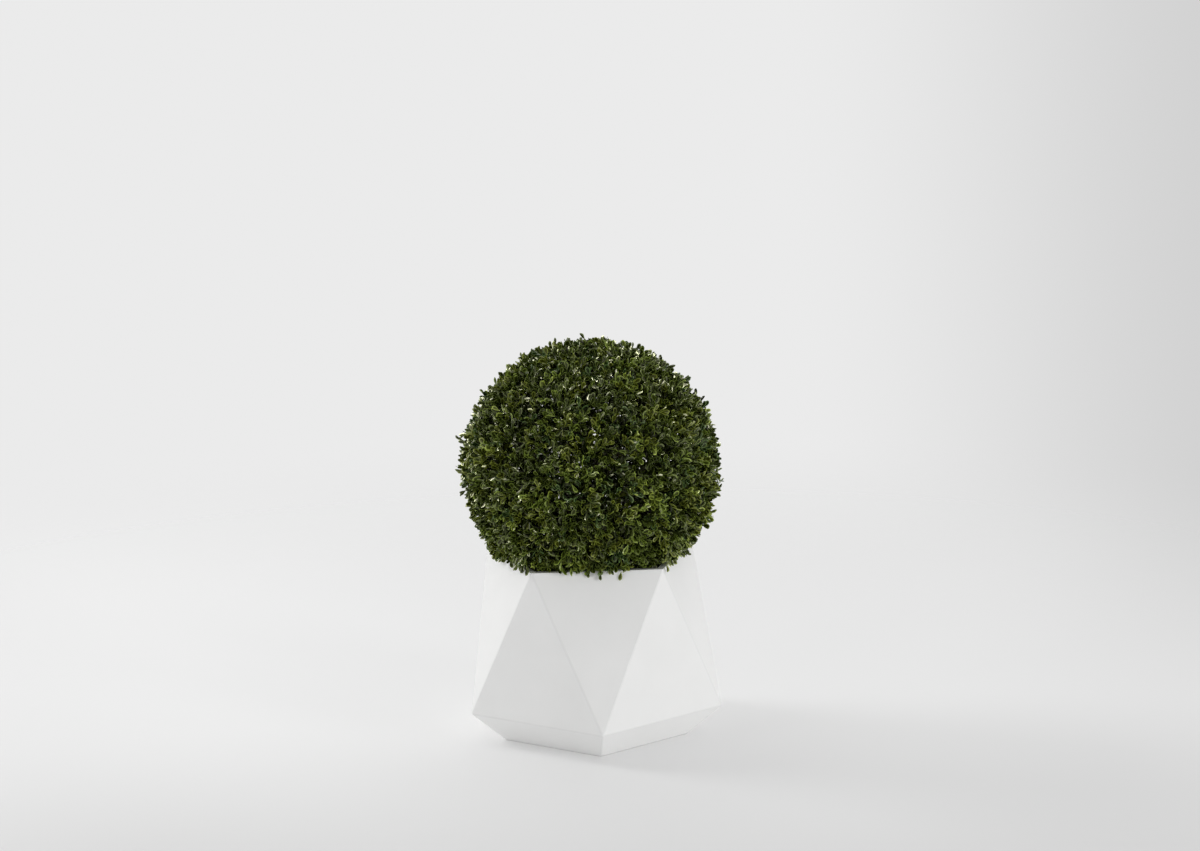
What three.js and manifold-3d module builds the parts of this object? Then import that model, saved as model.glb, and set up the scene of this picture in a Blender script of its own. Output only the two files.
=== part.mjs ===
// An artificial box topiary ball standing in a faceted five-sided planter.
// The planter is a hollow pentagonal shell: a short foot flares up to a wide waist, and from there triangular
// facets lean in to a smaller rim that is turned by half a side. A filling inside carries a short stem, whose
// boughs spread into the underside of one clipped ball of foliage that sits down in the planter's mouth.
// Millimetres, +Z up, origin at the centre of the planter's flat underside, one waist corner towards -Y.

import * as THREE from "three";
import { ConvexGeometry } from "three/addons/geometries/ConvexGeometry.js";
import { mergeVertices } from "three/addons/utils/BufferGeometryUtils.js";
import Module from "manifold-3d";

const wasm = await Module();
wasm.setup();

// Driving dimensions. Planter radii are measured to the corners.
const BALL_DIAMETER = 480;
const BALL_CENTRE_HEIGHT = 503;
const FOOT_RADIUS = 179;
const WAIST_RADIUS = 245;
const WAIST_HEIGHT = 58;
const RIM_RADIUS = 203;
const RIM_HEIGHT = 344;
const SIDES = 5;
const LIP_RADIUS_STEP = 15;
const WAIST_RADIUS_STEP = 16;
const FLOOR_THICKNESS = 15;
const FILL_HEIGHT = 150;
const STEM_TOP_HEIGHT = 224;
const STEM_FOOT_RADIUS = 19;
const STEM_TOP_RADIUS = 14;
const STEM_LEAN_X = 3;
const STEM_LEAN_Y = 5;
const STEM_UPRIGHT_HEIGHT = 20;
const STEM_BEND_HEIGHT = 45;
const ROOT_RIDGES = 5;
const ROOT_FLARE = 0.35;
const ROOT_RIDGE_FLARE = 0.14;
const ROOT_FLARE_FADE = 7;
const BOUGHS = 5;
const BOUGH_FOOT_RADIUS = 7.5;
const BOUGH_TIP_RADIUS = 5;
const BOUGH_LOW_START = 24;
const BOUGH_HIGH_START = 14;
const BOUGH_REACH = 86;
const BOUGH_REACH_SPREAD = 26;
const BOUGH_TURN_SPREAD = 0.3;
const BOUGH_ELBOW_SHARE = 0.52;
const BOUGH_ELBOW_RISE = 20;
const BOUGH_RISE = 100;

// Fit and finish.
const GAP = 0.5;
const RIM_OVERCUT = 1;
const MERGE_DISTANCE = 1e-4;
const STEM_SIDES = 20;
const STEM_STEPS = 10;
const BOUGH_SIDES = 10;
const BOUGH_STEPS = 8;
const BOUGH_SEED = 7;
const BALL_DETAIL = 12;
const BALL_UNEVENNESS = 10;
const BALL_SEED = 41;
const BALL_WAVES = 14;
const BALL_LOWEST_FREQUENCY = 13;
const BALL_FREQUENCY_SPREAD = 9;
const BALL_MEAN_DEPTH = 0.4;
const BALL_WAVE_GAIN = 2;

// The usual multiplier, increment and modulus of a linear congruential generator.
const RANDOM_MULTIPLIER = 1664525;
const RANDOM_INCREMENT = 1013904223;
const RANDOM_MODULUS = 4294967296;

// Repeatable random numbers from 0 to 1.
function seededRandom(seed) {
  let state = seed;
  return () => {
    state = (state * RANDOM_MULTIPLIER + RANDOM_INCREMENT) % RANDOM_MODULUS;
    return state / RANDOM_MODULUS;
  };
}

// Booleans work on closed meshes whose shared corners are merged.
function solidOf(geometry) {
  const bare = geometry.clone();
  bare.deleteAttribute("normal");
  bare.deleteAttribute("uv");
  const merged = mergeVertices(bare, MERGE_DISTANCE);
  return new wasm.Manifold(new wasm.Mesh({
    numProp: 3,
    vertProperties: new Float32Array(merged.attributes.position.array),
    triVerts: new Uint32Array(merged.index.array),
  }));
}

function geometryOf(solid) {
  const { vertProperties, triVerts } = solid.getMesh();
  const geometry = new THREE.BufferGeometry();
  geometry.setAttribute("position", new THREE.BufferAttribute(vertProperties, 3));
  geometry.setIndex(new THREE.BufferAttribute(triVerts, 1));
  geometry.computeVertexNormals();
  return geometry;
}

// The corners of one pentagon. A turn of 0 points a corner towards -Y, and 0.5 points a side there.
function ring(radius, height, turn = 0) {
  return Array.from({ length: SIDES }, (_, corner) => {
    const angle = ((corner + turn) * 2 * Math.PI) / SIDES;
    return new THREE.Vector3(radius * Math.sin(angle), -radius * Math.cos(angle), height);
  });
}

// The planter's outside, grown by a margin.
function planterOutside(margin = 0) {
  return solidOf(new ConvexGeometry([
    ...ring(FOOT_RADIUS + margin, -margin),
    ...ring(WAIST_RADIUS + margin, WAIST_HEIGHT),
    ...ring(RIM_RADIUS + margin, RIM_HEIGHT + margin, 0.5),
  ]));
}

// The planter's hollow, shrunk by a margin. It runs just past the rim, so that it cuts the mouth open.
function planterHollow(margin = 0) {
  const footSlope = (WAIST_RADIUS - FOOT_RADIUS) / WAIST_HEIGHT;
  const floorRadius = FOOT_RADIUS + footSlope * FLOOR_THICKNESS - WAIST_RADIUS_STEP;
  return solidOf(new ConvexGeometry([
    ...ring(floorRadius - margin, FLOOR_THICKNESS + margin),
    ...ring(WAIST_RADIUS - WAIST_RADIUS_STEP - margin, WAIST_HEIGHT),
    ...ring(RIM_RADIUS - LIP_RADIUS_STEP - margin, RIM_HEIGHT + RIM_OVERCUT + margin, 0.5),
  ]));
}

function planterShell(margin = 0) {
  return planterOutside(margin).subtract(planterHollow(margin));
}

// The filling takes the lower part of the hollow and has a level top.
function filling() {
  const size = 3 * WAIST_RADIUS;
  const block = new THREE.BoxGeometry(size, size, FILL_HEIGHT).translate(0, 0, FILL_HEIGHT / 2);
  return planterHollow(GAP).intersect(solidOf(block));
}

// A closed limb along a curve: rings of points whose radius follows radiusAt(share of length, angle).
function limbGeometry(curve, radiusAt, sides, steps) {
  const frames = curve.computeFrenetFrames(steps, false);
  const positions = [];
  const triangles = [];
  for (let step = 0; step <= steps; step += 1) {
    const centre = curve.getPointAt(step / steps);
    for (let side = 0; side < sides; side += 1) {
      const angle = (side * 2 * Math.PI) / sides;
      const radius = radiusAt(step / steps, angle);
      const point = centre.clone()
        .addScaledVector(frames.normals[step], radius * Math.cos(angle))
        .addScaledVector(frames.binormals[step], radius * Math.sin(angle));
      positions.push(point.x, point.y, point.z);
    }
  }
  const foot = positions.length / 3;
  const tip = foot + 1;
  positions.push(...curve.getPointAt(0).toArray(), ...curve.getPointAt(1).toArray());
  for (let side = 0; side < sides; side += 1) {
    const next = (side + 1) % sides;
    for (let step = 0; step < steps; step += 1) {
      const low = step * sides;
      const high = low + sides;
      triangles.push(low + side, low + next, high + next);
      triangles.push(low + side, high + next, high + side);
    }
    triangles.push(foot, next, side);
    triangles.push(tip, steps * sides + side, steps * sides + next);
  }
  const geometry = new THREE.BufferGeometry();
  geometry.setAttribute("position", new THREE.Float32BufferAttribute(positions, 3));
  geometry.setIndex(triangles);
  return geometry;
}

// The stem leans a little and flares over its foot into five low root ridges.
function stem(margin = 0) {
  const curve = new THREE.CatmullRomCurve3([
    new THREE.Vector3(0, 0, FILL_HEIGHT + GAP - margin),
    new THREE.Vector3(0, 0, FILL_HEIGHT + STEM_UPRIGHT_HEIGHT),
    new THREE.Vector3(0.6 * STEM_LEAN_X, 0.6 * STEM_LEAN_Y, FILL_HEIGHT + STEM_BEND_HEIGHT),
    new THREE.Vector3(STEM_LEAN_X, STEM_LEAN_Y, STEM_TOP_HEIGHT + margin),
  ]);
  const radiusAt = (share, angle) => {
    const taper = THREE.MathUtils.lerp(STEM_FOOT_RADIUS, STEM_TOP_RADIUS, share);
    const flare = Math.exp(-share * ROOT_FLARE_FADE);
    const ridge = ROOT_FLARE + ROOT_RIDGE_FLARE * Math.cos(ROOT_RIDGES * angle);
    return taper * (1 + flare * ridge) + margin;
  };
  return solidOf(limbGeometry(curve, radiusAt, STEM_SIDES, STEM_STEPS));
}

// The ball is a sphere whose surface is lowered by crossing waves, so that its clipped face is uneven.
function ball(margin = 0) {
  const random = seededRandom(BALL_SEED);
  const waves = Array.from({ length: BALL_WAVES }, () => ({
    direction: new THREE.Vector3(random() - 0.5, random() - 0.5, random() - 0.5).normalize(),
    frequency: BALL_LOWEST_FREQUENCY + BALL_FREQUENCY_SPREAD * random(),
    phase: 2 * Math.PI * random(),
  }));
  const geometry = new THREE.IcosahedronGeometry(1, BALL_DETAIL);
  const position = geometry.attributes.position;
  const point = new THREE.Vector3();
  for (let i = 0; i < position.count; i += 1) {
    point.fromBufferAttribute(position, i).normalize();
    const sum = waves.reduce((total, wave) => (
      total + Math.cos(wave.frequency * point.dot(wave.direction) + wave.phase)
    ), 0);
    const depth = THREE.MathUtils.clamp(BALL_MEAN_DEPTH - (BALL_WAVE_GAIN * sum) / BALL_WAVES, 0, 1);
    point.multiplyScalar(BALL_DIAMETER / 2 - BALL_UNEVENNESS * depth + margin);
    position.setXYZ(i, point.x, point.y, point.z + BALL_CENTRE_HEIGHT);
  }
  return solidOf(geometry);
}

// The foliage fills the mouth and laps over the rim, with the rim's own shape left free.
function foliage() {
  return ball().subtract(planterShell(GAP));
}

// Boughs spread from the top of the stem and end where they enter the foliage.
function boughs() {
  const random = seededRandom(BOUGH_SEED);
  const stemSpace = stem(GAP);
  const ballSpace = ball(GAP);
  return Array.from({ length: BOUGHS }, (_, index) => {
    const angle = ((index + BOUGH_TURN_SPREAD * (random() - 0.5)) * 2 * Math.PI) / BOUGHS;
    const outward = new THREE.Vector3(Math.sin(angle), -Math.cos(angle), 0);
    const startHeight = STEM_TOP_HEIGHT - (index % 2 ? BOUGH_LOW_START : BOUGH_HIGH_START);
    const reach = BOUGH_REACH + BOUGH_REACH_SPREAD * random();
    const start = new THREE.Vector3(STEM_LEAN_X, STEM_LEAN_Y, startHeight);
    const elbow = start.clone()
      .addScaledVector(outward, BOUGH_ELBOW_SHARE * reach)
      .setZ(startHeight + BOUGH_ELBOW_RISE);
    const end = start.clone().addScaledVector(outward, reach).setZ(startHeight + BOUGH_RISE);
    const curve = new THREE.QuadraticBezierCurve3(start, elbow, end);
    const radiusAt = (share) => THREE.MathUtils.lerp(BOUGH_FOOT_RADIUS, BOUGH_TIP_RADIUS, share);
    const limb = solidOf(limbGeometry(curve, radiusAt, BOUGH_SIDES, BOUGH_STEPS));
    return limb.subtract(stemSpace).subtract(ballSpace);
  });
}

const planterPlastic = new THREE.MeshStandardMaterial({ color: 0xf1f1ef, roughness: 0.5, metalness: 0 });
const barkChips = new THREE.MeshStandardMaterial({ color: 0x3b2b20, roughness: 0.95, metalness: 0 });
const bark = new THREE.MeshStandardMaterial({ color: 0x6a5540, roughness: 0.85, metalness: 0 });
const leafGreen = new THREE.MeshStandardMaterial({ color: 0x3a4a1d, roughness: 0.45, metalness: 0 });

function part(name, solid, material) {
  const mesh = new THREE.Mesh(geometryOf(solid), material);
  mesh.name = name;
  return mesh;
}

const group = new THREE.Group();
group.add(part("planter", planterShell(), planterPlastic));
group.add(part("planter_filling", filling(), barkChips));
group.add(part("stem", stem(), bark));
boughs().forEach((bough, index) => group.add(part(`bough_${index + 1}`, bough, bark)));
group.add(part("foliage_ball", foliage(), leafGreen));

export default group;
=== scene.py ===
import math

import bmesh
import bpy
import numpy as np
from mathutils import Matrix, Vector, noise


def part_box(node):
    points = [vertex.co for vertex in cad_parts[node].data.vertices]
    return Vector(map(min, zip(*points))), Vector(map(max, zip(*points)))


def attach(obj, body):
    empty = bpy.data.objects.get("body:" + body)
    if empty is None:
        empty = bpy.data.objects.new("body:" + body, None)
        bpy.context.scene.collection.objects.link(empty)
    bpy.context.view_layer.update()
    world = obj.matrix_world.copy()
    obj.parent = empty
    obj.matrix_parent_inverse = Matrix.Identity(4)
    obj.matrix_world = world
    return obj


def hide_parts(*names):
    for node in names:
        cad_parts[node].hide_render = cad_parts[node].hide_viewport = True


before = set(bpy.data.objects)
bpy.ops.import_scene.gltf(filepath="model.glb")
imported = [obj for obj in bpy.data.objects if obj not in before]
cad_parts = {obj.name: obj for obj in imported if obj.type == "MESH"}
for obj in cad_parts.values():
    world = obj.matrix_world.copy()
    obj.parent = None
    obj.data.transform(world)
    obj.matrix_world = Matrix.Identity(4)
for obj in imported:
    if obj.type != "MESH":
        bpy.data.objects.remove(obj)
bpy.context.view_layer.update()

# ---------------------------------------------------------------------------------------------------
# Sizes, in metres, and shares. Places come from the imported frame.
# ---------------------------------------------------------------------------------------------------
SEED = 20
WELD = 1e-5                     # points closer than this are one
ON_PLANE = 1e-4                 # slack when a point is held against a plane

# Planter
FACET_EDGE = 0.0075             # rounding of the edges between the planter's facets
FOOT_EDGE = 0.0030              # rounding of its foot
LIP_EDGE = 0.0022               # and of its lip and inside
EDGE_SEGMENTS = 5
PAINTED_EDGE_SHADE = 0.955               # painted shade: those edges are a little darker than the facets
FOOT_PAINTED_SHADOW = 0.40               # and of the foot edge it stands on, darker as a painted contact shadow
PLANTER_TONES = ((0.825, 0.826, 0.818), (0.852, 0.852, 0.845))

# Stem, boughs and filling
BARK_RIDGES = Vector((230, 230, 45))
BARK_KNOTS = 60
KNOT_SHARE = 0.6
RIDGE_SINK = 0.4                # how much of the relief lies under the smooth surface
STEM_RIDGE = 0.0016
BOUGH_RIDGE = 0.0008
FLAT_END = 0.0005               # height of the band at a flat face that is left as it is
BED_CUTS = 12
BED_LUMPS = 55
BED_SAG = 0.004
CHIPS = 900
CHIP_SMALLEST = (0.007, 0.004, 0.0015)
CHIP_LARGEST = (0.016, 0.008, 0.004)
CHIPS_FROM_WALL = 0.03

# Growth of the ball
BALL_TIP_OVER_MEAN = 0.0035     # how far the leaf tips pass the CAD ball's mean surface
LIMB_RISE = (-5, 48, 4, 40, 12)  # how steeply each inner limb goes on from its bough, in degrees
LIMB_REACH = 0.36               # where the inner limbs end, as a share of the ball's radius
LIMB_TUBE = (0.0050, 0.0038, 8, 9)
BRANCHES = 36
BRANCHLETS = 210
TWIGS = 1000
TWIG_REACH = 0.865
# Each later level: how many, their reach, radius at the foot and at the tip, sides and steps.
LEVELS = (
    (BRANCHES, 0.60, 0.0030, 0.0022, 6, 7),
    (BRANCHLETS, 0.76, 0.0018, 0.0013, 5, 6),
    (TWIGS, TWIG_REACH, 0.0011, 0.0008, 4, 5),
)
LEVEL_JITTER = 0.25
LEVEL_SCATTER = 0.02

# Sprays. Their reach is a share of the ball's radius.
SPRAYS = 4600
SPRAY_JITTER = 0.33
SPRAY_REACH = 0.942
DEEP_SHARE = 0.28               # share of the sprays that stay deeper in
DEEP_STEP = 0.085               # and by how much
LUMP_HEIGHT = 0.015
REACH_SCATTER = 0.022
SPRAY_LEAN = 0.010
SPRAY_LIFT = 0.003
KNEE_SCATTER = 0.007
STALK_FOOT = 0.00075
STALK_TIP = 0.0004

# Where the ball meets the rim
SWELL_CENTRE = 0.010            # height over the rim where the ball is pressed out most
SWELL_HALF_HEIGHT = 0.030
SWELL_PLATEAU = 1.4
SWELL_PAST_RIM = 0.002
SWELL_LIMIT = 0.04
SIDE_SPRIGS = 40                # sprigs that lap over each side of the rim
SIDE_ALONG = (-0.115, 0.115)
SIDE_DROP = (-0.022, -0.005)
FRONT_SPRIGS = 14               # and over the one in front
FRONT_ALONG = (-0.068, 0.055)
FRONT_DROP = (-0.010, 0.004)
SPRIG_CLEAR = 0.005             # how far they stand off the planter
SPRAY_CLEARANCE = 0.004
TWIG_CLEARANCE = 0.002
LEAF_CLEARANCE = 0.0012


# ---------------------------------------------------------------------------------------------------
# Small vector helpers on arrays of points
# ---------------------------------------------------------------------------------------------------
def unit(v):
    return v / np.maximum(np.linalg.norm(v, axis=-1, keepdims=True), 1e-12)


def even_directions(count, rng, jitter):
    """Directions spread evenly over a sphere, each moved at random by a share of their spacing."""
    i = np.arange(count) + 0.5
    z = 1 - 2 * i / count
    turn = math.pi * (1 + math.sqrt(5)) * i
    flat = np.sqrt(1 - z * z)
    even = np.stack([flat * np.cos(turn), flat * np.sin(turn), z], -1)
    spacing = math.sqrt(4 * math.pi / count)
    return unit(even + rng.normal(0, jitter * spacing, even.shape))


def across(d, rng=None):
    """Two directions square to each direction in d, turned at random if rng is given."""
    helper = np.where(np.abs(d[:, 2:3]) < 0.9, [[0.0, 0.0, 1.0]], [[1.0, 0.0, 0.0]])
    a = unit(np.cross(helper, d))
    b = np.cross(d, a)
    if rng is not None:
        t = rng.uniform(0, 2 * math.pi, (len(d), 1))
        a, b = a * np.cos(t) + b * np.sin(t), b * np.cos(t) - a * np.sin(t)
    return a, b


def bezier(p, k, c, t):
    """Points (n, len(t), 3) on the quadratic curves from p by way of k to c."""
    t = np.asarray(t)[None, :, None]
    p, k, c = p[:, None], k[:, None], c[:, None]
    return (1 - t) ** 2 * p + 2 * t * (1 - t) * k + t * t * c


def bezier_heading(p, k, c, t):
    t = np.asarray(t)[None, :, None]
    p, k, c = p[:, None], k[:, None], c[:, None]
    return unit((1 - t) * (k - p) + t * (c - k))


# ---------------------------------------------------------------------------------------------------
# Meshes from arrays
# ---------------------------------------------------------------------------------------------------
def mesh_object(name, points, faces, materials, face_material=None, smooth=True):
    """faces is a list of (count, corners) index arrays, one for each number of corners."""
    mesh = bpy.data.meshes.new(name)
    loops = np.concatenate([f.reshape(-1) for f in faces])
    sizes = np.concatenate([np.full(len(f), f.shape[1]) for f in faces])
    starts = np.concatenate([[0], np.cumsum(sizes)[:-1]])
    mesh.vertices.add(len(points))
    mesh.vertices.foreach_set("co", np.asarray(points, np.float32).reshape(-1))
    mesh.loops.add(len(loops))
    mesh.loops.foreach_set("vertex_index", loops.astype(np.int32))
    mesh.polygons.add(len(sizes))
    mesh.polygons.foreach_set("loop_start", starts.astype(np.int32))
    for m in materials:
        mesh.materials.append(m)
    if face_material is not None:
        mesh.polygons.foreach_set("material_index", np.asarray(face_material, np.int32))
    mesh.update(calc_edges=True)
    mesh.polygons.foreach_set("use_smooth", np.full(len(sizes), smooth))
    mesh.validate()
    obj = bpy.data.objects.new(name, mesh)
    bpy.context.collection.objects.link(obj)
    return obj


def tubes(paths, radii, sides):
    """Closed tapering tubes round (n, steps, 3) paths. Returns points and face arrays."""
    n, steps, _ = paths.shape
    heading = unit(np.gradient(paths, axis=1))
    a, b = across(heading[:, 0])
    turn = np.arange(sides) * 2 * math.pi / sides
    rings = np.empty((n, steps, sides, 3))
    for s in range(steps):
        a = unit(a - heading[:, s] * np.sum(a * heading[:, s], -1, keepdims=True))
        b = np.cross(heading[:, s], a)
        out = a[:, None] * np.cos(turn)[None, :, None] + b[:, None] * np.sin(turn)[None, :, None]
        rings[:, s] = paths[:, s, None] + out * radii[:, s, None, None]
    index = np.arange(n * steps * sides).reshape(n, steps, sides)
    low, high = index[:, :-1], index[:, 1:]
    walls = np.stack([low, np.roll(low, -1, 2), np.roll(high, -1, 2), high], -1).reshape(-1, 4)
    caps = np.concatenate([index[:, 0, ::-1], index[:, -1]])
    return rings.reshape(-1, 3), [walls, caps]


# ---------------------------------------------------------------------------------------------------
# Materials
# ---------------------------------------------------------------------------------------------------
def new_material(name, colour, roughness, **plain):
    """Returns the material, its tree and its shader. The other inputs are set on the shader's sockets."""
    m = bpy.data.materials.new(name)
    m.use_nodes = True
    shader = m.node_tree.nodes["Principled BSDF"]
    shader.inputs["Base Color"].default_value = (*colour, 1)
    shader.inputs["Roughness"].default_value = roughness
    for socket, value in plain.items():
        shader.inputs[socket.replace("_", " ")].default_value = value
    return m, m.node_tree, shader


def noise_node(tree, scale, detail=4.0, rough=0.5, stretch=(1, 1, 1)):
    where = tree.nodes.new("ShaderNodeTexCoord")
    mapping = tree.nodes.new("ShaderNodeMapping")
    mapping.inputs["Scale"].default_value = stretch
    n = tree.nodes.new("ShaderNodeTexNoise")
    n.inputs["Scale"].default_value = scale
    n.inputs["Detail"].default_value = detail
    n.inputs["Roughness"].default_value = rough
    tree.links.new(where.outputs["Object"], mapping.inputs["Vector"])
    tree.links.new(mapping.outputs["Vector"], n.inputs["Vector"])
    return n.outputs["Fac"]


def ramp(tree, fac, stops):
    r = tree.nodes.new("ShaderNodeValToRGB")
    r.color_ramp.elements[0].position, r.color_ramp.elements[0].color = stops[0][0], (*stops[0][1], 1)
    r.color_ramp.elements[1].position, r.color_ramp.elements[1].color = stops[-1][0], (*stops[-1][1], 1)
    for at, colour in stops[1:-1]:
        r.color_ramp.elements.new(at).color = (*colour, 1)
    tree.links.new(fac, r.inputs["Fac"])
    return r.outputs["Color"]


def bump(tree, shader, height, strength, distance):
    b = tree.nodes.new("ShaderNodeBump")
    b.inputs["Strength"].default_value = strength
    b.inputs["Distance"].default_value = distance
    tree.links.new(height, b.inputs["Height"])
    tree.links.new(b.outputs["Normal"], shader.inputs["Normal"])


def planter_material(name, gain):
    """White satin plastic: a faint mottle in tone and gloss, and a fine moulded grain."""
    low, high = (tuple(gain * c for c in tone) for tone in PLANTER_TONES)
    m, tree, shader = new_material(name, high, 0.45)
    tone = ramp(tree, noise_node(tree, 9, 5), [(0.3, low), (0.7, high)])
    tree.links.new(tone, shader.inputs["Base Color"])
    gloss = ramp(tree, noise_node(tree, 26, 6), [(0.3, (0.40,) * 3), (0.7, (0.52,) * 3)])
    tree.links.new(gloss, shader.inputs["Roughness"])
    bump(tree, shader, noise_node(tree, 700, 2), 0.08, 0.0004)
    return m


def bark_material(name, dark, light, scale):
    m, tree, shader = new_material(name, light, 0.85)
    grain = noise_node(tree, scale, 8, 0.65, (1, 1, 0.3))
    tree.links.new(ramp(tree, grain, [(0.35, dark), (0.65, light)]), shader.inputs["Base Color"])
    dull = ramp(tree, grain, [(0.3, (0.9,) * 3), (0.8, (0.7,) * 3)])
    tree.links.new(dull, shader.inputs["Roughness"])
    bump(tree, shader, grain, 0.6, 0.0012)
    return m


def soft_step(tree, value, low, high, at_low, at_high):
    """A smooth change of a number from one value to another as the coordinate goes from low to high."""
    step = tree.nodes.new("ShaderNodeMapRange")
    step.interpolation_type = "SMOOTHSTEP"
    for name, number in (("From Min", low), ("From Max", high), ("To Min", at_low), ("To Max", at_high)):
        step.inputs[name].default_value = number
    tree.links.new(value, step.inputs["Value"])
    return step.outputs["Result"]


def arithmetic(tree, operation, *values):
    """A math node. Each value is a node's output or a number."""
    node = tree.nodes.new("ShaderNodeMath")
    node.operation = operation
    for socket, value in zip(node.inputs, values):
        if isinstance(value, (int, float)):
            socket.default_value = value
        else:
            tree.links.new(value, socket)
    return node.outputs["Value"]


def leaf_material(name, colour, roughness, gloss):
    """One moulded green. The leaf's own form is in its mesh, so the material is even over a spray."""
    return new_material(name, colour, roughness, IOR=LEAF_IOR, Specular_IOR_Level=gloss,
                        Specular_Tint=LEAF_SHEEN)[0]


# ---------------------------------------------------------------------------------------------------
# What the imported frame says
# ---------------------------------------------------------------------------------------------------
def node_points(node):
    return np.array([v.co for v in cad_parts[node].data.vertices])


def fit_sphere(points):
    """Centre and radius of the sphere nearest to these points."""
    rows = np.column_stack([2 * points, np.ones(len(points))])
    answer = np.linalg.lstsq(rows, (points ** 2).sum(1), rcond=None)[0]
    return answer[:3], math.sqrt(answer[3] + answer[:3] @ answer[:3])


PLANTER_LOW, PLANTER_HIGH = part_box("planter")
RIM_Z = PLANTER_HIGH.z
ball_points = node_points("foliage_ball")
OVER_RIM = ball_points[:, 2] > RIM_Z + 0.02
BALL_CENTRE, BALL_MEAN_RADIUS = fit_sphere(ball_points[OVER_RIM])
BALL_RADIUS = BALL_MEAN_RADIUS + BALL_TIP_OVER_MEAN


def planter_planes():
    """The planes of the planter's outside and of its hollow, each as outward normals and offsets."""
    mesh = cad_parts["planter"].data
    points = node_points("planter")
    outside, hollow = [], []
    for face in mesh.polygons:
        n = np.array(face.normal)
        d = n @ points[face.vertices[0]]
        if (points @ n <= d + WELD).all():
            outside.append((*n, d))
        else:
            hollow.append((*-n, -d))
    return np.array(outside), np.array(hollow)


OUTSIDE_PLANES, HOLLOW_PLANES = planter_planes()


def in_hollow(points, margin):
    """Whether each point lies in the planter's hollow, at least the margin from its sides."""
    return (points @ HOLLOW_PLANES[:, :3].T <= HOLLOW_PLANES[:, 3] - margin).all(-1)


def in_planter_wall(points, margin):
    """Whether each point lies in the planter's wall or closer to it than the margin."""
    outside = (points @ OUTSIDE_PLANES[:, :3].T <= OUTSIDE_PLANES[:, 3] + margin).all(-1)
    return outside & ~in_hollow(points, margin)


# ---------------------------------------------------------------------------------------------------
# The planter, the filling, the stem and the boughs
# ---------------------------------------------------------------------------------------------------
def merged_copy(node, name, material):
    """A copy of a CAD node's mesh with its split corners joined."""
    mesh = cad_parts[node].data.copy()
    mesh.name = name
    mesh.materials.clear()
    mesh.materials.append(material)
    obj = bpy.data.objects.new(name, mesh)
    bpy.context.collection.objects.link(obj)
    bm = bmesh.new()
    bm.from_mesh(mesh)
    bmesh.ops.remove_doubles(bm, verts=bm.verts, dist=WELD)
    bm.to_mesh(mesh)
    bm.free()
    if mesh.attributes.get("custom_normal"):
        mesh.attributes.remove(mesh.attributes["custom_normal"])
    return obj


def apply_modifiers(obj):
    dg = bpy.context.evaluated_depsgraph_get()
    mesh = bpy.data.meshes.new_from_object(obj.evaluated_get(dg), depsgraph=dg)
    obj.modifiers.clear()
    obj.data = mesh
    return obj


def hold(obj, slot, *nodes):
    """The piece rides on the one body and stands in for the CAD nodes, which it hides. Its slot is not used.
    """
    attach(obj, "root")
    if nodes:
        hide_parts(*nodes)
    return obj


def make_planter():
    """The CAD planter with its edges rounded: wide between facets, close at the foot, lip and inside. Below
    the lip the rounded edges carry a painted shade, a little darker than the facets, and the foot's edge a
    darker painted contact shadow.
    """
    obj = merged_copy("planter", "planter_shell", planter_material("planter_plastic", 1.0))
    obj.data.materials.append(planter_material("planter_edges_painted_shade", PAINTED_EDGE_SHADE))
    obj.data.materials.append(planter_material("planter_foot_painted_shadow", FOOT_PAINTED_SHADOW))
    bm = bmesh.new()
    bm.from_mesh(obj.data)
    bmesh.ops.dissolve_limit(bm, angle_limit=math.radians(1), verts=bm.verts, edges=bm.edges)
    bm.to_mesh(obj.data)
    bm.free()
    mesh = obj.data
    share = mesh.attributes.new("bevel_weight_edge", "FLOAT", "EDGE")
    for edge in mesh.edges:
        ends = np.array([mesh.vertices[v].co for v in edge.vertices])
        on_outside = (ends @ OUTSIDE_PLANES[:, :3].T <= OUTSIDE_PLANES[:, 3] + WELD).all()
        on_outside &= not in_hollow(ends, -ON_PLANE).any()
        at_rim = (ends[:, 2] > RIM_Z - ON_PLANE).all()
        at_foot = (ends[:, 2] < ON_PLANE).all()
        width = FOOT_EDGE if at_foot else LIP_EDGE if at_rim or not on_outside else FACET_EDGE
        share.data[edge.index].value = width / FACET_EDGE
    for p in mesh.polygons:
        p.use_smooth = True
    bevel = obj.modifiers.new("edges", "BEVEL")
    bevel.width = FACET_EDGE
    bevel.segments = EDGE_SEGMENTS
    bevel.limit_method = "WEIGHT"
    bevel.harden_normals = True
    # The bevel's faces take the darker edge material, a painted shade.
    bevel.material = 1
    apply_modifiers(obj)
    # The lip keeps the plain finish. The foot's edge takes the painted contact shadow.
    for p in obj.data.polygons:
        if p.center.z > RIM_Z - 2 * LIP_EDGE:
            p.material_index = 0
        elif p.center.z < FOOT_EDGE:
            p.material_index = 2
    return hold(obj, "planter_plastic", "planter")


def bark_relief(node, name, material, ridge):
    """The CAD limb with finer faces and lengthwise ridges of bark. Its cut ends stay flat."""
    obj = merged_copy(node, name, material)
    bm = bmesh.new()
    bm.from_mesh(obj.data)
    bmesh.ops.subdivide_edges(bm, edges=bm.edges, cuts=2, use_grid_fill=True)
    bmesh.ops.triangulate(bm, faces=bm.faces)
    bm.normal_update()
    low = min(v.co.z for v in bm.verts)
    for v in bm.verts:
        if v.co.z < low + FLAT_END:
            continue
        grain = noise.noise(v.co * BARK_RIDGES)
        knots = noise.noise(v.co * BARK_KNOTS + Vector((9, 0, 0)))
        v.co += v.normal * ridge * (grain + KNOT_SHARE * knots - RIDGE_SINK)
    bm.to_mesh(obj.data)
    bm.free()
    for p in obj.data.polygons:
        p.use_smooth = True
    return hold(obj, "bark", node)


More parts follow.
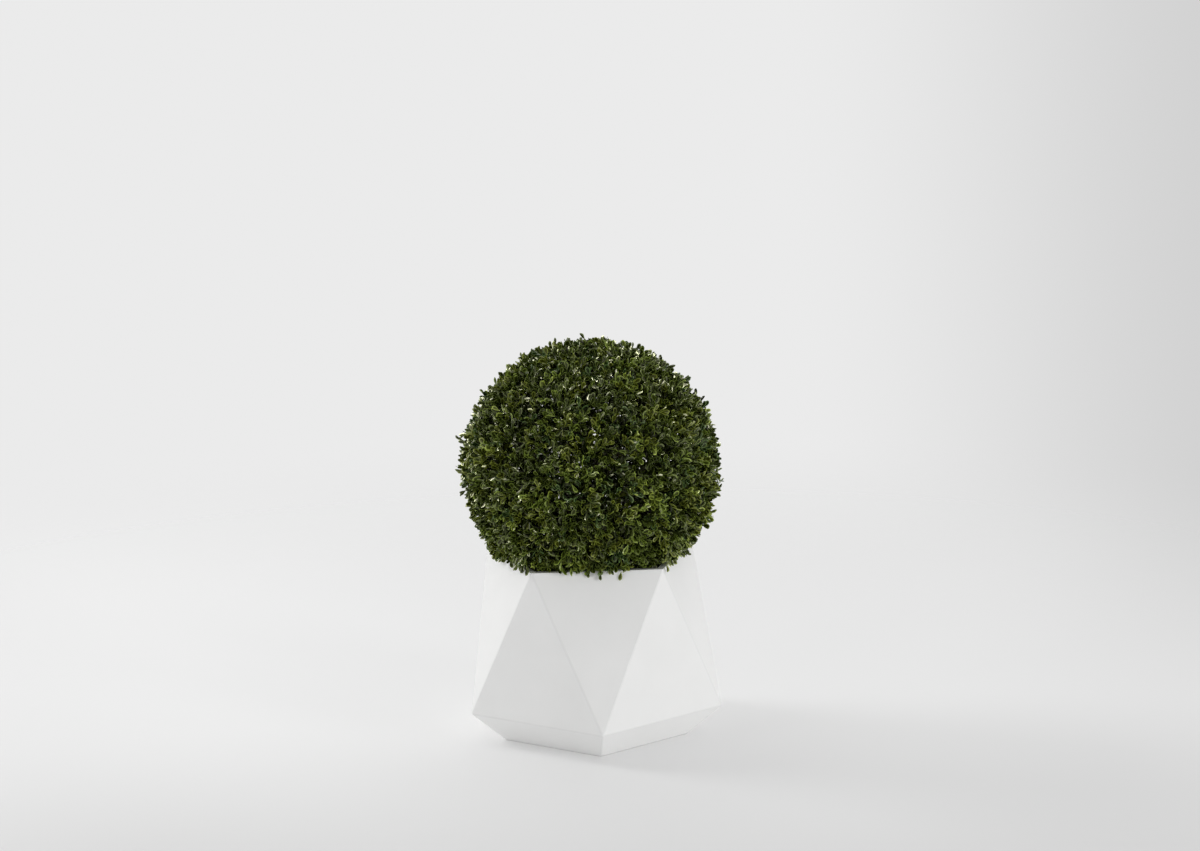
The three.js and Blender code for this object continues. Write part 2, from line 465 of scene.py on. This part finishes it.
def make_filling(rng):
    """A lumpy bed of bark with loose chips lying on it."""
    material = bark_material("bark_chips", (0.018, 0.010, 0.006), (0.085, 0.048, 0.028), 60)
    bed = merged_copy("planter_filling", "filling_bed", material)
    bm = bmesh.new()
    bm.from_mesh(bed.data)
    top = max(v.co.z for v in bm.verts)
    bmesh.ops.subdivide_edges(bm, edges=bm.edges, cuts=BED_CUTS, use_grid_fill=True)
    bmesh.ops.triangulate(bm, faces=bm.faces)
    for v in bm.verts:
        if v.co.z > top - FLAT_END:
            v.co.z -= BED_SAG * (0.5 + noise.noise(v.co * BED_LUMPS))
    bm.to_mesh(bed.data)
    bm.free()
    hold(bed, "bark_chips", "planter_filling")

    low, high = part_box("planter_filling")
    spread = min(high.x - low.x, high.y - low.y) / 2 - CHIPS_FROM_WALL
    reach = spread * np.sqrt(rng.uniform(0.02, 1, CHIPS))
    turn = rng.uniform(0, 2 * math.pi, CHIPS)
    place = np.stack([reach * np.cos(turn), reach * np.sin(turn), np.full(CHIPS, top + 0.001)], -1)
    place[:, 2] += rng.uniform(-0.002, 0.004, CHIPS)
    lie = unit(rng.normal(0, 1, (CHIPS, 3)) * [1, 1, 0.25])
    side, up = across(lie)
    size = rng.uniform(CHIP_SMALLEST, CHIP_LARGEST, (CHIPS, 3))
    corner = np.array([[x, y, z] for x in (-1, 1) for y in (-1, 1) for z in (-1, 1)], float)
    shape = corner[None] * (1 + rng.uniform(-0.35, 0.2, (CHIPS, 8, 3))) * size[:, None]
    points = (place[:, None] + shape[..., :1] * lie[:, None] + shape[..., 1:2] * side[:, None]
              + shape[..., 2:] * up[:, None])
    box_faces = np.array([[0, 1, 3, 2], [4, 6, 7, 5], [0, 4, 5, 1],
                          [2, 3, 7, 6], [0, 2, 6, 4], [1, 5, 7, 3]])
    faces = (np.arange(CHIPS)[:, None, None] * 8 + box_faces).reshape(-1, 4)
    chips = mesh_object("filling_chips", points.reshape(-1, 3), [faces], [material], smooth=False)
    hold(chips, "bark_chips", "planter_filling")


# ---------------------------------------------------------------------------------------------------
# Growth: limbs inside the ball, branches, twigs and sprays, each level growing on from the last
# ---------------------------------------------------------------------------------------------------
def nearest(points, parents):
    """The index of the parent nearest to each point."""
    return ((points[:, None] - parents[None]) ** 2).sum(-1).argmin(1)


def grow(parents, headings, children, bend):
    """The knee of each curve, which leaves its parent along the parent's heading, and its last heading."""
    span = np.linalg.norm(children - parents, axis=-1, keepdims=True)
    knee = parents + headings * span * bend
    return knee, unit(children - knee)


def bough_end(node):
    """Centre and heading of a bough's upper end."""
    points = node_points(node)
    order = np.argsort(np.linalg.norm(points - BALL_CENTRE, axis=1))
    end = points[order[: max(8, len(points) // 8)]].mean(0)
    foot = points[order[-len(points) // 8:]].mean(0)
    heading = unit(unit(end - foot) + [0, 0, 0.5])
    return end, heading


def lumps(directions, rng):
    """The ball's unevenness: how far the foliage stands out in each direction, from about -1 to 1."""
    total = np.zeros(len(directions))
    for _ in range(16):
        axis = unit(rng.normal(0, 1, 3))
        total += np.cos(directions @ axis * rng.uniform(12, 26) + rng.uniform(0, 2 * math.pi))
    return total / 4


def rim_reach(azimuth):
    """How far from the axis the planter's inside lies at its rim, in each direction."""
    heading = np.stack([np.cos(azimuth), np.sin(azimuth)], -1)
    room = HOLLOW_PLANES[:, 3] - HOLLOW_PLANES[:, 2] * RIM_Z
    rate = heading @ HOLLOW_PLANES[:, :2].T
    return np.where(rate > 0.1, room / np.maximum(rate, 0.1), np.inf).min(-1)


def swell_over_rim(tips):
    """Where the ball sinks into the planter's mouth its foliage is pressed out to the rim's corners."""
    reach = np.hypot(tips[:, 0], tips[:, 1])
    azimuth = np.arctan2(tips[:, 1], tips[:, 0])
    off = np.abs(tips[:, 2] - RIM_Z - SWELL_CENTRE) / SWELL_HALF_HEIGHT
    near = np.clip(SWELL_PLATEAU - off, 0, 1)
    swell = near * np.clip(rim_reach(azimuth) + SWELL_PAST_RIM - reach, 0, SWELL_LIMIT) / reach
    return tips * np.stack([1 + swell, 1 + swell, np.ones(len(tips))], -1)


def hanging_tips(rng):
    """Tips of the short sprigs that lap over the rim: close along its sides, few and longer in front."""
    tips = []
    leans_in = (OUTSIDE_PLANES[:, 2] > 0.05) & (OUTSIDE_PLANES[:, 2] < 0.5)
    for plane in OUTSIDE_PLANES[leans_in]:
        out = plane[:3] / np.hypot(*plane[:2])
        face = (plane[3] - plane[2] * RIM_Z) / np.hypot(*plane[:2])
        if out[1] < -0.9:
            along = rng.uniform(*FRONT_ALONG, FRONT_SPRIGS)
            drop = rng.uniform(*FRONT_DROP, FRONT_SPRIGS)
        else:
            along = rng.uniform(*SIDE_ALONG, SIDE_SPRIGS)
            drop = rng.uniform(*SIDE_DROP, SIDE_SPRIGS)
        for a, d in zip(along, drop):
            reach = face + SPRIG_CLEAR + 0.3 * max(d, 0)
            tips.append((out[0] * reach - out[1] * a, out[1] * reach + out[0] * a, RIM_Z - d))
    return np.array(tips)


def grow_limbs(rng):
    """The curves of the inner limbs, branches and twigs by level, and the twigs' ends and headings."""
    boughs = [bough_end(f"bough_{i}") for i in range(1, 6)]
    starts = np.array([end for end, _ in boughs])
    headings = np.array([heading for _, heading in boughs])
    azimuth = np.arctan2(starts[:, 1], starts[:, 0])
    rise = np.radians(LIMB_RISE)
    aim = np.stack([np.cos(azimuth) * np.cos(rise), np.sin(azimuth) * np.cos(rise), np.sin(rise)], -1)
    start = starts - headings * 0.003
    end = BALL_CENTRE + aim * BALL_RADIUS * LIMB_REACH
    knee, heading = grow(start, headings, end, 0.5)
    levels = [(start, knee, end, *LIMB_TUBE)]
    for count, share, *tube in LEVELS:
        direction = even_directions(count, rng, LEVEL_JITTER)
        reach = BALL_RADIUS * share * (1 + rng.normal(0, LEVEL_SCATTER, (count, 1)))
        children = BALL_CENTRE + direction * reach
        parent = nearest(children, end)
        start = end[parent]
        knee, heading = grow(start, heading[parent], children, 0.35)
        end = children
        levels.append((start, knee, end, *tube))
    return levels, end, heading


def grow_sprays(ends, headings, rng):
    """The curve of each spray and the twig that it grows on from."""
    direction = even_directions(SPRAYS, rng, SPRAY_JITTER)
    tall = lumps(direction, rng)
    deep = rng.uniform(0, 1, SPRAYS) < DEEP_SHARE
    scatter = rng.normal(0, REACH_SCATTER, SPRAYS)
    reach = BALL_RADIUS * (SPRAY_REACH - DEEP_STEP * deep + LUMP_HEIGHT * tall + scatter)
    twig = nearest(BALL_CENTRE + direction * BALL_RADIUS * TWIG_REACH, ends)
    side, over = across(direction)
    lean = rng.normal(0, SPRAY_LEAN, (SPRAYS, 2))
    aim = unit(direction * BALL_RADIUS + side * lean[:, :1] + over * lean[:, 1:] + [0, 0, SPRAY_LIFT])
    tips = swell_over_rim(BALL_CENTRE + aim * reach[:, None])
    knee, _ = grow(ends[twig], headings[twig], tips, 0.4)
    knee += rng.normal(0, KNEE_SCATTER, knee.shape)
    over_rim = hanging_tips(rng)
    own = nearest(over_rim + [0, 0, 0.05], ends)
    knee = np.concatenate([knee, over_rim * [1.02, 1.02, 1] + [0, 0, 0.036]])
    twig = np.concatenate([twig, own])
    return ends[twig], knee, np.concatenate([tips, over_rim]), twig


def clear_of_planter(start, knee, tip):
    """Lifts each spray that would run into the planter's wall, and says which ones come clear."""
    t = np.linspace(0.1, 1, 7)
    tip = tip.copy()
    knee = knee.copy()
    for _ in range(10):
        hit = in_planter_wall(bezier(start, knee, tip, t), SPRAY_CLEARANCE).any(1)
        if not hit.any():
            break
        tip[hit] += [0, 0, 0.005]
        knee[hit] += [0, 0, 0.004]
    return knee, tip, ~in_planter_wall(bezier(start, knee, tip, t), TWIG_CLEARANCE).any(1)


# ---------------------------------------------------------------------------------------------------
# Leaves
# ---------------------------------------------------------------------------------------------------
LEAF_LENGTH = 0.0182
LEAF_WIDTH = 0.0082

# Outline of half a leaf from its foot to the notch in its tip, as shares of the length and of the
# width, and the line inside it where the pale margin, brightened as painted highlight, meets the blade.
LEAF_EDGE = [(0.28, 0.20), (0.54, 0.44), (0.77, 0.45), (0.94, 0.23)]
LEAF_NOTCH = 0.985
BLADE_FOOT = 0.17
BLADE_EDGE = [(0.36, 0.12), (0.57, 0.30), (0.76, 0.31)]
BLADE_TIP = 0.89
LEAF_CUP = 0.62                 # how far the halves fold up, as a share of the width
CUP_CURVE = 1.1
LEAF_SPOON = 0.24               # how far it curves up towards its ends
MARGIN_LIP = 0.03               # how far the margin stands over the blade

PAIRS = np.array([0.22, 0.50, 0.77, 1.0])               # where the pairs stand along a spray
PAIR_OPENING = np.radians([56, 47, 36, 22])             # their angle from the twig
PAIR_SIZE = np.array([1.0, 1.05, 1.02, 0.90])
SWING_SPREAD = 0.45             # how unevenly the leaves stand round the twig, in radians
OPENING_SPREAD = 0.32
ROLL_SPREAD = 0.55
CURL_MEAN = 0.9                 # how far each leaf is cupped, from a little backwards to twice
CURL_SPREAD = 0.5
CURL_RANGE = (-0.2, 2.0)
LENGTH_SPREAD = 0.09
LENGTH_RANGE = (0.75, 1.25)
WIDTH_SPREAD = 0.06

LEAF_TONES = {
    "leaf_deep": ((0.013, 0.0195, 0.0003), 0.21),
    "leaf_mid": ((0.023, 0.0335, 0.0006), 0.23),
    "leaf_olive": ((0.043, 0.052, 0.002), 0.26),
    "leaf_bright": ((0.057, 0.078, 0.008), 0.24),
    "leaf_blue": ((0.016, 0.032, 0.007), 0.21),
    "leaf_fresh": ((0.092, 0.115, 0.014), 0.26),
}
TONE_SHARES = np.array([0.30, 0.32, 0.19, 0.10, 0.07, 0.02])
PATCH_SHARE = 0.6               # share of the sprays that take the tone of their twig
INNER_PAINTED_SHADE_SHARE = 0.6              # share of the inner leaves given the deepest tone, a painted shade in the ball's depth
LEAF_SHEEN = (1.0, 1.0, 0.70, 1.0)
LEAF_IOR = 1.52
BLADE_GLOSS = 0.46
MARGIN_GLOSS = 0.9
# The margins: the leaves' own pale edge, brightened much further as a painted highlight of the edges catching
# the light.
MARGIN_PALE_AND_HIGHLIGHT_GAIN = 4.0
MARGIN_PALE_AND_HIGHLIGHT_LIFT = (0.056, 0.064, 0.034)
OUTER_FROM = 0.925              # leaves that reach past this share of the radius have their margin
OUTER_PIECE = 8000              # leaves in one piece
INNER_PIECE = 40000


def leaf_height(x, y, lip):
    """The blade folds up from its midrib and curves up towards its tip."""
    return LEAF_CUP * abs(2 * y) ** CUP_CURVE * 0.5 + LEAF_SPOON * (x - 0.4) ** 2 + lip


def detailed_leaf():
    """A leaf with a pale margin round its blade, the margin partly painted highlight: points, triangles, and
    which are margin.
    """
    rim = [(0, 0)] + LEAF_EDGE + [(LEAF_NOTCH, 0)] + [(x, -y) for x, y in reversed(LEAF_EDGE)]
    blade = ([(BLADE_FOOT, 0)] + BLADE_EDGE + [(BLADE_TIP, 0)]
             + [(x, -y) for x, y in reversed(BLADE_EDGE)])
    points = [(x, y, leaf_height(x, y, MARGIN_LIP if x > 0 else 0)) for x, y in rim]
    points += [(x, y, leaf_height(x, y, 0)) for x, y in blade]
    f, l1, l2, l3, l4, t, r4, r3, r2, r1 = range(10)
    bf, b1, b2, b3, bt, c3, c2, c1 = range(10, 18)
    half_margin = [(f, b1, l1), (f, bf, b1), (l1, b1, b2), (l1, b2, l2), (l2, b2, b3), (l2, b3, l3),
                   (l3, b3, l4), (l4, b3, bt), (l4, bt, t)]
    half_blade = [(bf, b2, b1), (bf, bt, b2), (b2, bt, b3)]
    mirror = {f: f, l1: r1, l2: r2, l3: r3, l4: r4, t: t, bf: bf, b1: c1, b2: c2, b3: c3, bt: bt}

    def both(half):
        return half + [(mirror[i], mirror[k], mirror[j]) for i, j, k in half]

    margin, inner = both(half_margin), both(half_blade)
    triangles = np.array(margin + inner)
    return np.array(points), triangles[:, ::-1], np.arange(len(triangles)) < len(margin)


def plain_leaf():
    """A leaf of four faces for the depth of the foliage."""
    points = [(0, 0), (0.42, 0.30), (0.84, 0.46), (LEAF_NOTCH, 0), (0.84, -0.46), (0.42, -0.30)]
    points = [(x, y, leaf_height(x, y, 0)) for x, y in points]
    triangles = np.array([(0, 3, 1), (1, 3, 2), (0, 5, 3), (5, 4, 3)])
    return np.array(points), triangles[:, ::-1], np.zeros(4, bool)


def place_leaves(template, foot, axis, up, length, width, curl):
    """Points (n, corners, 3) of a leaf shape laid at each foot, along each axis, cupped towards up."""
    side = np.cross(up, axis)
    shape = template[None] * np.stack([length, width, width * curl], -1)[:, None]
    return (foot[:, None] + shape[..., :1] * axis[:, None] + shape[..., 1:2] * side[:, None]
            + shape[..., 2:] * up[:, None])


def make_leaf_arrays(start, knee, tip, tone, rng):
    """Every leaf of every spray: foot, axis, up, length, width, curl, tone."""
    n = len(start)
    foot = bezier(start, knee, tip, PAIRS)
    heading = bezier_heading(start, knee, tip, PAIRS)
    a, _ = across(heading[:, 0], rng)
    out = []
    for k in range(len(PAIRS)):
        h = heading[:, k]
        a = unit(a - h * (a * h).sum(-1, keepdims=True))
        b = np.cross(h, a)
        turned = a if k % 2 == 0 else b
        for sign in (1, -1):
            swing = rng.normal(0, SWING_SPREAD, (n, 1))
            u = unit(sign * (turned * np.cos(swing) + np.cross(h, turned) * np.sin(swing)))
            opening = PAIR_OPENING[k] + rng.normal(0, OPENING_SPREAD, (n, 1))
            axis = h * np.cos(opening) + u * np.sin(opening)
            up = h * np.sin(opening) - u * np.cos(opening)
            roll = rng.normal(0, ROLL_SPREAD, (n, 1))
            up = unit(up * np.cos(roll) + np.cross(axis, up) * np.sin(roll))
            size = PAIR_SIZE[k] * rng.normal(1, LENGTH_SPREAD, n).clip(*LENGTH_RANGE)
            curl = rng.normal(CURL_MEAN, CURL_SPREAD, n).clip(*CURL_RANGE)
            width = LEAF_WIDTH * size * rng.normal(1, WIDTH_SPREAD, n)
            out.append((foot[:, k], axis, up, LEAF_LENGTH * size, width, curl, tone))
    return [np.concatenate(part) for part in zip(*out)]


def make_wood(levels):
    """The inner limbs, branches, branchlets and twigs, each level one piece."""
    bark = bark_material("limb_bark", (0.035, 0.024, 0.014), (0.11, 0.080, 0.048), 160)
    green_bark = bark_material("twig_bark", (0.045, 0.055, 0.015), (0.10, 0.12, 0.035), 300)
    names = ("inner_limbs", "inner_branches", "inner_branchlets", "twigs")
    looks = (bark, bark, bark, green_bark)
    for name, look, (start, knee, end, thick, thin, sides, steps) in zip(names, looks, levels):
        t = np.linspace(0, 1, steps)
        paths = bezier(start, knee, end, t)
        clear = ~in_planter_wall(paths, TWIG_CLEARANCE).any(1)
        radii = np.broadcast_to(thick + (thin - thick) * t, paths.shape[:2])
        points, faces = tubes(paths[clear], radii[clear], sides)
        hold(mesh_object(name, points, faces, [look]), "bark", "foliage_ball")


def make_stalks(start, knee, tip):
    """The green stalk of each spray."""
    green = bark_material("stalk_green", (0.085, 0.120, 0.025), (0.15, 0.20, 0.05), 300)
    t = np.linspace(0, 0.96, 4)
    radii = np.broadcast_to(STALK_FOOT + (STALK_TIP - STALK_FOOT) * t, (len(start), len(t)))
    points, faces = tubes(bezier(start, knee, tip, t), radii, 3)
    hold(mesh_object("spray_stalks", points, faces, [green]), "foliage", "foliage_ball")


def leaf_looks():
    """A material for each tone's blades, then one for each tone's margins: their own pale green, brightened
    further as painted highlight.
    """
    blades = [leaf_material(name, colour, roughness, BLADE_GLOSS)
              for name, (colour, roughness) in LEAF_TONES.items()]
    margins = []
    for name, (colour, roughness) in LEAF_TONES.items():
        pale_and_highlight = tuple(MARGIN_PALE_AND_HIGHLIGHT_GAIN * c + more for c, more in zip(colour, MARGIN_PALE_AND_HIGHLIGHT_LIFT))
        margins.append(leaf_material(name + "_margin", pale_and_highlight, roughness, MARGIN_GLOSS))
    return blades + margins


def make_foliage(rng):
    levels, ends, headings = grow_limbs(rng)
    start, knee, tip, twig = grow_sprays(ends, headings, rng)
    make_wood(levels)
    knee, tip, clear = clear_of_planter(start, knee, tip)
    start, knee, tip, twig = start[clear], knee[clear], tip[clear], twig[clear]
    make_stalks(start, knee, tip)

    patch = rng.choice(len(TONE_SHARES), TWIGS, p=TONE_SHARES)
    own = rng.choice(len(TONE_SHARES), len(start), p=TONE_SHARES)
    tone = np.where(rng.uniform(0, 1, len(start)) < PATCH_SHARE, patch[twig], own)
    foot, axis, up, length, width, curl, tone = make_leaf_arrays(start, knee, tip, tone, rng)
    reach = np.linalg.norm(foot + axis * length[:, None] - BALL_CENTRE, axis=1)
    outer = reach > BALL_RADIUS * OUTER_FROM
    # Painted shade: a share of the inner leaves take the deepest tone.
    tone = np.where(~outer & (rng.uniform(0, 1, len(tone)) < INNER_PAINTED_SHADE_SHARE), 0, tone)

    looks = leaf_looks()
    groups = (("leaves_outer", detailed_leaf(), outer, OUTER_PIECE),
              ("leaves_inner", plain_leaf(), ~outer, INNER_PIECE))
    for group, (shape, triangles, is_margin), pick, per_piece in groups:
        corners = place_leaves(shape, foot[pick], axis[pick], up[pick], length[pick], width[pick], curl[pick])
        free = ~in_planter_wall(corners, LEAF_CLEARANCE).any(1)
        corners, tones = corners[free], tone[pick][free]
        order = np.argsort(corners[:, 0, 2])
        count = max(1, math.ceil(len(order) / per_piece))
        for i, chosen in enumerate(np.array_split(order, count)):
            first = np.arange(len(chosen))[:, None, None] * len(shape)
            faces = (first + triangles).reshape(-1, 3)
            look = tones[chosen][:, None] + len(LEAF_TONES) * is_margin[None]
            leaves = mesh_object(f"{group}_{i + 1}", corners[chosen].reshape(-1, 3), [faces],
                                 looks, look.reshape(-1), smooth=False)
            hold(leaves, "foliage", "foliage_ball")


# ---------------------------------------------------------------------------------------------------
# Floor, light and camera
# ---------------------------------------------------------------------------------------------------
FLOOR_RADIUS = 3.0
FLOOR_SIDES = 96
FLOOR_RINGS = [0.0, 0.1, 0.25, 0.5, 0.75, 1.0]         # as shares of the radius
FLOOR_TONE = 0.66
FLOOR_GLOW = 0.215                                     # keeps the contact shadow light
# Soft steps of the floor's tone, painted shade towards the camera and the sides and painted light to the
# right: from and to on the coordinate, then the value at each.
FLOOR_FRONT = (-1.2, 0.1, 0.68, 0.96)
FLOOR_ASIDE = (0.5, 1.15, 1.0, 0.92)
FLOOR_RIGHT = (0.0, 0.45, 1.0, 1.03)
FLOOR_FADE = (FLOOR_RADIUS * 0.30, FLOOR_RADIUS * 0.97, 1.0, 0.0)
ASIDE_SLANT = -0.4

# Soft steps of the room's brightness by direction
ROOM_BEHIND = (-0.5, 0.6, 0.18, 0.77)
ROOM_ABOVE = (0.2, 1.0, 0.0, 0.38)
WALL_SWEEP = (0.12, 0.30, 0.83, 0.63)
WALL_TO_ROOM = (0.05, 0.35, 0.0, 1.0)

# Each softbox: its place, what it points at, its size and its power in watts
SOFTBOXES = {
    "left_back_softbox": ((-3.0, 1.2, 2.4), (0, 0, 0.4), (1.2, 1.6), 41),
    "left_front_softbox": ((-3.0, -2.0, 0.5), (0, 0, 0.3), (0.5, 0.7), 15),
    "right_front_softbox": ((3.0, -2.4, 0.65), (0, 0, 0.3), (0.9, 0.9), 51),
}
SHEEN_SOFTBOX = ((-1.2, 0.5, 3.2), (0, 0, 0.5), (2.4, 1.8), 190)
SHEEN_COLOUR = (1.0, 0.99, 0.94)

CAMERA_FROM = Vector((-0.2755, -5.0384, 1.5451))       # where the camera stands
CAMERA_YAW = 0.0585                                    # turn to the right of +Y, in radians
CAMERA_PITCH = 0.1889                                  # down
CAMERA_ROLL = 0.0181
CAMERA_LENS = 83.42
CAMERA_SENSOR = 36


def floor_material():
    """Pale and matt, darker towards the camera and the sides as painted shade and lighter to the right as
    painted light where the shadow falls, and fading out towards its edge.
    """
    m, tree, shader = new_material("studio_floor", (FLOOR_TONE,) * 3, 0.7, Specular_IOR_Level=0.15)
    where = tree.nodes.new("ShaderNodeTexCoord")
    split = tree.nodes.new("ShaderNodeSeparateXYZ")
    tree.links.new(where.outputs["Object"], split.inputs["Vector"])
    x, y = split.outputs["X"], split.outputs["Y"]
    reach = tree.nodes.new("ShaderNodeVectorMath")
    reach.operation = "LENGTH"
    tree.links.new(where.outputs["Object"], reach.inputs[0])
    aside = arithmetic(tree, "MULTIPLY_ADD", y, ASIDE_SLANT, arithmetic(tree, "ABSOLUTE", x))
    shade = soft_step(tree, y, *FLOOR_FRONT)
    for factor in (soft_step(tree, aside, *FLOOR_ASIDE), soft_step(tree, x, *FLOOR_RIGHT)):
        shade = arithmetic(tree, "MULTIPLY", shade, factor)
    tone = ramp(tree, shade, [(0.0, (0.0,) * 3), (1.0, (FLOOR_TONE,) * 3)])
    tree.links.new(tone, shader.inputs["Base Color"])
    shader.inputs["Emission Color"].default_value = (1, 1, 1, 1)
    shader.inputs["Emission Strength"].default_value = FLOOR_GLOW
    tree.links.new(soft_step(tree, reach.outputs["Value"], *FLOOR_FADE), shader.inputs["Alpha"])
    return m


def make_floor():
    """A round pale studio floor whose edge melts into the pale room round it."""
    n = FLOOR_SIDES
    turn = np.arange(n) * 2 * math.pi / n
    points = [(0, 0, 0)]
    for share in FLOOR_RINGS[1:]:
        reach = FLOOR_RADIUS * share
        points += [(reach * math.cos(a), reach * math.sin(a), 0.0) for a in turn]
    hub = np.array([(0, 1 + k, 1 + (k + 1) % n) for k in range(n)])
    quads = []
    for r in range(len(FLOOR_RINGS) - 2):
        low = 1 + r * n
        quads += [(low + k, low + n + k, low + n + (k + 1) % n, low + (k + 1) % n) for k in range(n)]
    mesh_object("studio_floor", points, [hub, np.array(quads)], [floor_material()])


def area_light(name, place, target, size, power):
    light = bpy.data.lights.new(name, "AREA")
    light.shape = "RECTANGLE"
    light.size, light.size_y = size
    light.energy = power
    obj = bpy.data.objects.new(name, light)
    obj.location = place
    obj.rotation_euler = (Vector(target) - Vector(place)).to_track_quat("-Z", "Y").to_euler()
    obj.visible_camera = False
    bpy.context.collection.objects.link(obj)
    return obj


def make_light():
    """Soft light from a pale room that is brighter behind the object than in front, and softboxes."""
    world = bpy.data.worlds.new("studio")
    bpy.context.scene.world = world
    world.use_nodes = True
    tree = world.node_tree
    background = tree.nodes["Background"]
    where = tree.nodes.new("ShaderNodeTexCoord")
    split = tree.nodes.new("ShaderNodeSeparateXYZ")
    tree.links.new(where.outputs["Generated"], split.inputs["Vector"])
    x, y, z = (split.outputs[axis] for axis in "XYZ")
    room = arithmetic(tree, "ADD", soft_step(tree, y, *ROOM_BEHIND), soft_step(tree, z, *ROOM_ABOVE))
    total = tree.nodes.new("ShaderNodeMix")
    tree.links.new(soft_step(tree, z, *WALL_TO_ROOM), total.inputs["Factor"])
    tree.links.new(soft_step(tree, x, *WALL_SWEEP), total.inputs["A"])
    tree.links.new(room, total.inputs["B"])
    tree.links.new(total.outputs["Result"], background.inputs["Strength"])
    background.inputs["Color"].default_value = (1, 1, 1, 1)
    for name, (place, target, size, power) in SOFTBOXES.items():
        area_light(name, place, target, size, power)
    sheen = area_light("overhead_sheen_softbox", *SHEEN_SOFTBOX)
    sheen.visible_diffuse = False
    sheen.data.color = SHEEN_COLOUR


def make_camera():
    ahead = Vector((math.sin(CAMERA_YAW) * math.cos(CAMERA_PITCH),
                    math.cos(CAMERA_YAW) * math.cos(CAMERA_PITCH), -math.sin(CAMERA_PITCH)))
    right = ahead.cross(Vector((0, 0, 1))).normalized()
    up = right.cross(ahead)
    c, s = math.cos(CAMERA_ROLL), math.sin(CAMERA_ROLL)
    right, up = right * c - up * s, up * c + right * s
    data = bpy.data.cameras.new("camera")
    data.lens = CAMERA_LENS
    data.sensor_width = CAMERA_SENSOR
    camera = bpy.data.objects.new("camera", data)
    turn = Matrix((right, up, -ahead)).transposed()
    camera.matrix_world = Matrix.Translation(CAMERA_FROM) @ turn.to_4x4()
    bpy.context.collection.objects.link(camera)
    bpy.context.scene.camera = camera


# ---------------------------------------------------------------------------------------------------
# The scene
# ---------------------------------------------------------------------------------------------------
rng = np.random.default_rng(SEED)
make_camera()
make_light()
make_floor()
make_planter()
make_filling(rng)
limb_bark = bark_material("bark", (0.035, 0.024, 0.014), (0.14, 0.095, 0.060), 90)
bark_relief("stem", "stem_bark", limb_bark, STEM_RIDGE)
for i in range(1, 6):
    bark_relief(f"bough_{i}", f"bough_bark_{i}", limb_bark, BOUGH_RIDGE)
make_foliage(rng)
bpy.context.scene.view_settings.view_transform = "Standard"
